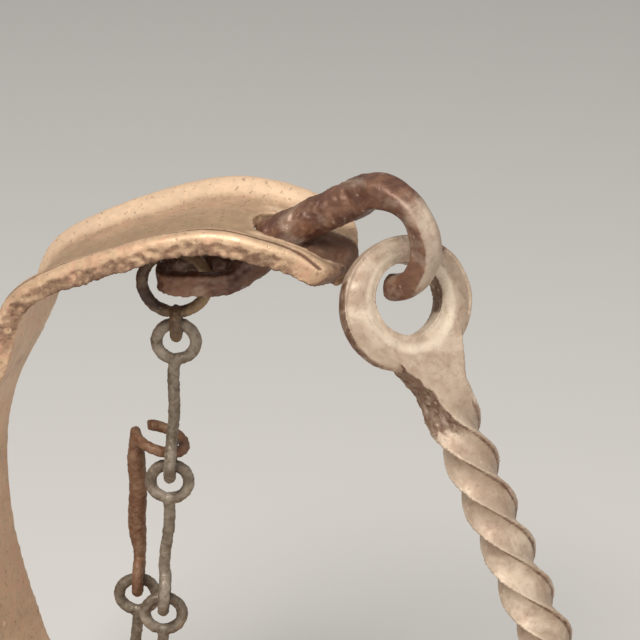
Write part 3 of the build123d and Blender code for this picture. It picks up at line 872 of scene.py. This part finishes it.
CHAIN_TURN, CHAIN_LEAN = math.radians(12), math.radians(4)
FLAT_ALONG = np.array([math.cos(CHAIN_TURN), math.sin(CHAIN_TURN), 0.0])
CHAIN_FRONT = np.array([math.sin(CHAIN_TURN), -math.cos(CHAIN_TURN), 0.0])
CHAIN_ALONG = FLAT_ALONG * math.cos(CHAIN_LEAN) - UP * math.sin(CHAIN_LEAN)
CHAIN_UP = UP * math.cos(CHAIN_LEAN) + FLAT_ALONG * math.sin(CHAIN_LEAN)


@dataclass(frozen=True)
class BentEye:
    """An eye of bent wire whose cut end is pressed against the shank."""

    centre: np.ndarray
    across: np.ndarray
    away_from_shank: np.ndarray
    radius: float
    cut: float
    press: float

    def close(self, points: np.ndarray) -> np.ndarray:
        """Turn the cut end on towards the shank.

        Args:
            points: the vertices, in metres.

        Returns:
            The moved vertices.
        """
        away = points - self.centre
        flat, rise = away @ self.across, away @ self.away_from_shank
        side = away - self.across * flat[:, None] - self.away_from_shank * rise[:, None]
        turn = np.mod(np.degrees(np.arctan2(rise, flat)) + 90, 360) - 90
        reach = np.hypot(flat, rise)
        level = np.linalg.norm(side, axis=1) < 1.3 * MM
        on_wire = level * (np.abs(reach - self.radius) < 1.3 * MM) * (turn < self.cut + 4)
        angle = np.radians(turn + self.press * step(turn, 140, self.cut) * on_wire)
        flat, rise = reach * np.cos(angle), reach * np.sin(angle)
        return self.centre + side + self.across * flat[:, None] + self.away_from_shank * rise[:, None]


FIRST_EYES = (BentEye(np.array([-25.964, 0.333, 111.516]) * MM, FLAT_ALONG, UP, 4.7 * MM, 246, 13),)


def link_eyes(x: float, y: float, z: float) -> tuple[BentEye, ...]:
    """The two eyes of a link.

    Args:
        x: the middle of its top wire, in millimetres.
        y: the same, to the back.
        z: the same, upwards.

    Returns:
        The upper and the lower eye.
    """
    top = np.array([x, y, z]) * MM
    high = top - CHAIN_UP * 2.85 * MM
    low = top - CHAIN_UP * 22.2 * MM
    return (
        BentEye(high, CHAIN_ALONG, CHAIN_UP, 2.85 * MM, 236, 19),
        BentEye(low, CHAIN_FRONT, -CHAIN_UP, 2.85 * MM, 236, 19),
    )


@dataclass
class WireLink(WorkedPiece):
    """One link of bent wire, never quite round and never quite straight."""

    voxel: float = 0.17 * MM
    slot: str = "iron"
    finish: Finish = Finish.CHAIN
    sway: float = 0.22 * MM
    phase: float = 0.0
    rubbed_side: float = 0.0
    eyes: tuple[BentEye, ...] = ()

    def copy_solid(self) -> bpy.types.Object:
        """Copy the link and close its eyes."""
        piece = super().copy_solid()
        for eye in self.eyes:
            put_points(piece, eye.close(points_of(piece)))
        return piece

    def work(self, points: np.ndarray, normals: np.ndarray) -> np.ndarray:
        """Bend the wire a little out of true."""
        height = points[:, 2] / MM
        shank = step(height - height.min(), 5.5, 9) * step(height.max() - height, 5.5, 9)
        moved = points.copy()
        moved[:, 0] += self.sway * shank * np.sin(height * 0.42 + self.phase)
        moved[:, 1] += 0.7 * self.sway * shank * np.sin(height * 0.35 + 2.1 * self.phase + 1.0)
        return moved

    def looks(self, points: np.ndarray, normals: np.ndarray) -> dict[str, np.ndarray]:
        """Rust where the links rub; a rubbed right side where there is one."""
        low, high = points[:, 2].min(), points[:, 2].max()
        ends = np.minimum(points[:, 2] - low, high - points[:, 2])
        side = points[:, 0] - (points[:, 0].min() + points[:, 0].max()) / 2
        rubbed = self.rubbed_side * step(side, 0.5 * MM, 2.5 * MM)
        return {
            "grime_and_shade": 0.55 * bell(ends, 2.0 * MM) * (1 - rubbed),
            "wear_and_highlight": np.maximum(0.5 * bell(ends - 5 * MM, 2.5 * MM), rubbed),
        }


@dataclass
class PanWork(WorkedPiece):
    """A piece of the pan or its cover: cast, filed at the edges, darker towards the bottom and with painted shade
    underneath.
    """

    body: str = "lamp"
    finish: Finish = Finish.PAN
    slot: str = "brass"
    voxel: float = 0.5 * MM
    layers: tuple[Unevenness, ...] = PAN_MARKS

    def looks(self, points: np.ndarray, normals: np.ndarray) -> dict[str, np.ndarray]:
        """Darker towards the bottom, with painted shade on faces that look down."""
        floor = 1 - step(points[:, 2], 0.5 * MM, 4 * MM)
        # painted shade on faces that look down
        down = step(-normals[:, 2], 0.2, 0.9)
        return {"grime_and_shade": np.maximum(0.45 * floor, 0.6 * down)}


@dataclass
class TurnedPieces:
    """Rivets, pins and knobs: a disc drawn out ring by ring along its axis, then rounded and dented."""

    node: str
    body: str
    finish: Finish
    slot: str
    outline: tuple[tuple[float, float], ...]
    places: tuple[tuple[Point, Point], ...]
    dents: float = 0.12 * MM

    def draw_out(self, number: int, place: Point, way: Point) -> bpy.types.Object:
        """Model one piece from its lowest ring to its highest.

        Args:
            number: which piece, for its name.
            place: the origin of its outline.
            way: the direction of its axis.

        Returns:
            The piece.
        """
        bpy.ops.object.select_all(action="DESELECT")
        radius, height = self.outline[0]
        bpy.ops.mesh.primitive_circle_add(vertices=28, radius=radius * MM, fill_type="NGON", location=(0, 0, height * MM))
        piece = bpy.context.active_object
        piece.name = f"{self.node}_{number}"
        bpy.ops.object.transform_apply(location=True, rotation=True, scale=True)
        bpy.ops.object.mode_set(mode="EDIT")
        for wider, higher in self.outline[1:]:
            bpy.ops.mesh.extrude_region_move(TRANSFORM_OT_translate={"value": (0, 0, (higher - height) * MM)})
            bpy.ops.transform.resize(value=(wider / radius, wider / radius, 1.0))
            radius, height = wider, higher
        bpy.ops.mesh.select_all(action="SELECT")
        bpy.ops.mesh.normals_make_consistent(inside=False)
        bpy.ops.object.mode_set(mode="OBJECT")
        round_off = piece.modifiers.new("round_off", "SUBSURF")
        round_off.levels = 1
        round_off.render_levels = 1
        apply_modifiers(piece)
        piece.rotation_mode = "QUATERNION"
        piece.rotation_quaternion = Vector((0, 0, 1)).rotation_difference(Vector(way))
        piece.location = Vector(place) * MM
        bpy.ops.object.transform_apply(location=True, rotation=True, scale=True)
        Unevenness(Relief.HAMMERED, 1.6 * MM, self.dents).press(piece)
        bpy.ops.object.shade_smooth()
        return piece

    def build(self) -> list[bpy.types.Object]:
        """Model every piece and tie it to its body."""
        made = []
        for number, (place, way) in enumerate(self.places, 1):
            piece = self.draw_out(number, place, way)
            paint(piece, "grime_and_shade", np.full(len(piece.data.vertices), 0.25))
            dress(piece, self.finish)
            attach(piece, self.body)
            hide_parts(self.node)
            made.append(piece)
        log.info("%s: %d turned", self.node, len(made))
        return made


def wall_spot(degrees: float, height: float) -> tuple[Point, Point]:
    """A place on the outside of the bowl's flared wall.

    Args:
        degrees: how far round the bowl.
        height: how high, in millimetres.

    Returns:
        The place in millimetres and the direction square to the wall.
    """
    turn, lean = math.radians(degrees), math.atan(3.0 / 24.0)
    ring = 36.0 - 3.0 * (1 - height / 24.0)
    place = (-10.0 + ring * math.cos(turn), ring * math.sin(turn), height)
    way = (math.cos(turn) * math.cos(lean), math.sin(turn) * math.cos(lean), -math.sin(lean))
    return place, way


def rivet_outline(shank: float, head: float, dome: float, inner: float, outer: float) -> tuple[tuple[float, float], ...]:
    """The half section of a rivet with a low dome at both ends.

    Args:
        shank: radius of the shank.
        head: radius of the heads.
        dome: height of the heads.
        inner: where the inner head starts, along the rivet.
        outer: where the outer head starts.

    Returns:
        Radius and height of each ring, in millimetres.
    """
    rise = ((0.35, 0.99), (0.68, 0.8), (0.9, 0.42), (1.0, 0.02))
    low = tuple((head * wide, inner - dome * high) for wide, high in rise)
    high = tuple((head * wide, outer + dome * up) for wide, up in reversed(rise))
    return low + ((shank, inner), (shank, outer)) + high


def turned_pieces() -> list[TurnedPieces]:
    """List the rivets, the hinge pin and the knob."""
    arm_spots = tuple(wall_spot(*spot) for spot in ((172.0, 8.0), (188.0, 8.0), (180.0, 12.6)))
    deck_spots = tuple(wall_spot(*spot) for spot in ((120.0, 22.2), (240.0, 22.2)))
    pin = ((0.8, -12.62), (1.45, -12.3), (1.6, -12.02), (0.8, -12.0), (0.8, 12.0), (1.6, 12.02), (1.45, 12.3), (0.8, 12.62))
    knob = (
        (2.2, 23.15), (2.3, 23.5), (2.3, 23.95), (1.4, 24.0), (1.4, 25.2), (2.7, 25.22), (2.7, 25.8), (1.9, 26.3),
        (1.5, 26.7), (1.6, 27.0), (2.15, 27.4), (2.55, 28.3), (2.6, 29.3), (2.35, 30.4), (1.6, 31.35), (0.6, 31.75),
    )
    flush = ((1.4, 0.1), (1.4, 2.7), (2.4, 2.72), (2.1, 3.2), (1.4, 3.52), (0.5, 3.66))
    return [
        TurnedPieces("arm_rivets", "lamp", Finish.DARK, "iron", rivet_outline(1.4, 2.6, 1.15, -1.72, 2.2), arm_spots),
        TurnedPieces("deck_rivets", "lamp", Finish.DARK, "iron", rivet_outline(0.9, 1.5, 0.66, -1.65, 1.0), deck_spots, 0.06 * MM),
        TurnedPieces("lid_hinge_pin", "lamp", Finish.DARK, "iron", pin, (((-8.0, 0.0, 25.8), (0.0, 1.0, 0.0)),), 0.03 * MM),
        TurnedPieces("lid_knob", "lid", Finish.PAN, "brass", knob, (((21.0, 0.0, 0.0), (0.0, 0.0, 1.0)),), 0.06 * MM),
        TurnedPieces("trough_rivet", "lamp", Finish.PAN, "brass", flush, (((6.7, 0.0, 0.0), (0.0, 0.0, 1.0)),), 0.05 * MM),
    ]


@dataclass
class Studio:
    """Pale floor, soft light and the camera at the photograph's angle."""

    azimuth: float = 12.0
    elevation: float = 25.0
    distance: float = 0.3
    target: Point = (-3.71 * MM, -4.79 * MM, 110.04 * MM)
    field: float = 16.86

    def camera(self) -> None:
        """Set the camera."""
        data = bpy.data.cameras.new("camera")
        data.angle = math.radians(self.field)
        data.clip_start = 0.01
        data.clip_end = 50.0
        rig = bpy.data.objects.new("camera", data)
        bpy.context.scene.collection.objects.link(rig)
        side, lift = math.radians(self.azimuth), math.radians(self.elevation)
        away = Vector((math.sin(side) * math.cos(lift), -math.cos(side) * math.cos(lift), math.sin(lift)))
        rig.location = Vector(self.target) + away * self.distance
        rig.rotation_euler = (-away).to_track_quat("-Z", "Y").to_euler()
        bpy.context.scene.camera = rig

    def floor(self) -> None:
        """Lay the floor."""
        bpy.ops.object.select_all(action="DESELECT")
        bpy.ops.mesh.primitive_plane_add(size=8.0, location=(0, 0, 0))
        ground = bpy.context.active_object
        ground.name = "floor"
        material = bpy.data.materials.new("floor")
        material.use_nodes = True
        shader = material.node_tree.nodes["Principled BSDF"]
        shader.inputs["Base Color"].default_value = shade(226, 223, 218)
        shader.inputs["Roughness"].default_value = 0.9
        ground.data.materials.append(material)

    def lamp(self, name: str, place: Point, size: float, power: float, tint: Point) -> None:
        """Hang one soft lamp that faces the object.

        Args:
            name: its name.
            place: where it hangs.
            size: its width.
            power: its watts.
            tint: the colour of its light.
        """
        data = bpy.data.lights.new(name, "AREA")
        data.size = size
        data.energy = power
        data.color = tint
        light = bpy.data.objects.new(name, data)
        light.location = place
        light.rotation_euler = (Vector((0, 0, 0.09)) - Vector(place)).to_track_quat("-Z", "Y").to_euler()
        bpy.context.scene.collection.objects.link(light)

    def world(self) -> None:
        """Fill the room with even light."""
        room = bpy.data.worlds.new("room")
        bpy.context.scene.world = room
        room.use_nodes = True
        back = room.node_tree.nodes["Background"]
        back.inputs["Color"].default_value = (0.92, 0.91, 0.9, 1.0)
        back.inputs["Strength"].default_value = 0.34

    def build(self) -> None:
        """Set up everything round the lamp."""
        self.camera()
        self.floor()
        self.world()
        self.lamp("key", (-0.12, -0.4, 0.7), 0.3, 4.8, (1.0, 0.98, 0.95))
        self.lamp("side", (0.6, -0.3, 0.4), 0.4, 1.3, (1.0, 0.99, 0.97))
        bpy.context.scene.view_settings.view_transform = "Standard"


def worked_pieces() -> list[WorkedPiece]:
    """List the worked pieces in the order in which they are made."""
    return [
        ArchedArm(layers=CAST_MARKS),
        SwivelHook(layers=FORGED_MARKS),
        Hanger(layers=HANGER_MARKS),
        WireLink("chain_link_1", "link_1", Finish.DARK, phase=0.3, rubbed_side=0.9, eyes=FIRST_EYES, layers=WIRE_MARKS),
        WireLink("chain_link_2", "link_2", phase=1.2, eyes=link_eyes(-25.838, 0.359, 105.012), layers=WIRE_MARKS),
        WireLink("chain_link_3", "link_3", phase=2.6, eyes=link_eyes(-27.421, 0.023, 81.868), layers=WIRE_MARKS),
        WireLink("chain_link_4", "link_4", phase=4.1, eyes=link_eyes(-29.004, -0.313, 58.725), layers=WIRE_MARKS),
        WireLink("chain_link_5", "link_5", phase=5.0, eyes=link_eyes(-34.599, 4.682, 58.383), layers=WIRE_MARKS),
        WireLink("wick_pick", "pick", Finish.PICK, phase=0.9, layers=WIRE_MARKS),
        PanWork("pan", voxel=0.6 * MM),
        PanWork("rear_deck", voxel=0.4 * MM),
        PanWork("lid", body="lid", voxel=0.4 * MM),
        PanWork("wick_trough", voxel=0.35 * MM),
    ]


def main() -> None:
    """Build the lamp's looks piece by piece, then light it."""
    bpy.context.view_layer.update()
    for piece in worked_pieces():
        piece.build()
    for group in turned_pieces():
        group.build()
    Studio().build()


if __name__ == "__main__":
    main()
